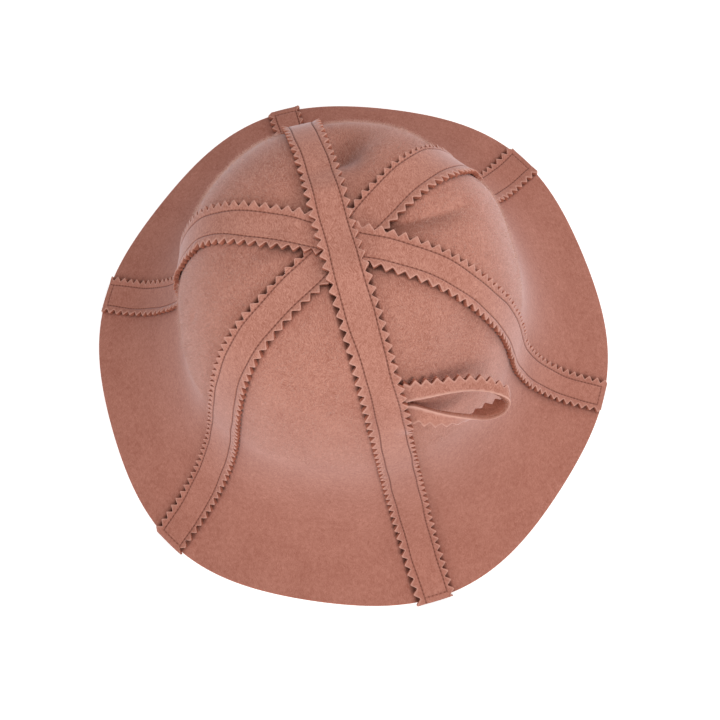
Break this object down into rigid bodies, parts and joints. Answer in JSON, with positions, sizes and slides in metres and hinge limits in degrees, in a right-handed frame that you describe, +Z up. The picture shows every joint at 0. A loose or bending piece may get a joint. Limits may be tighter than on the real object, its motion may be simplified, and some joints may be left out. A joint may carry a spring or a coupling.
{
  "type": "sauna hat",
  "caption": "Bell-shaped felt hat with a wide sloping brim, sewn from gores, with pinked strips over the seams and a hanging loop.",
  "frame": {"origin": "centre of the hat's footprint, on the surface that the rim rests on", "axes": "+Z up through the crown's tip, -Y towards the hat's front, +X towards the side that the hanging loop points to"},
  "size_m": [0.314, 0.3285, 0.1814],
  "materials": {
    "felt": "thick matt wool felt, dusty pink with fine mottling and a soft fuzz",
    "strip_felt": "the same felt with pinked edges and a row of stitches along each side",
    "loop_felt": "the same felt, with one pinked and one straight edge"
  },
  "bodies": {
    "root": {"gore_front_right": "felt", "gore_right": "felt", "gore_back_right": "felt", "gore_back_left": "felt", "gore_left": "felt", "gore_front_left": "felt", "strip_long": "strip_felt", "strip_cross": "strip_felt", "strip_under": "strip_felt", "hanging_loop": "loop_felt"}
  },
  "joints": []
}
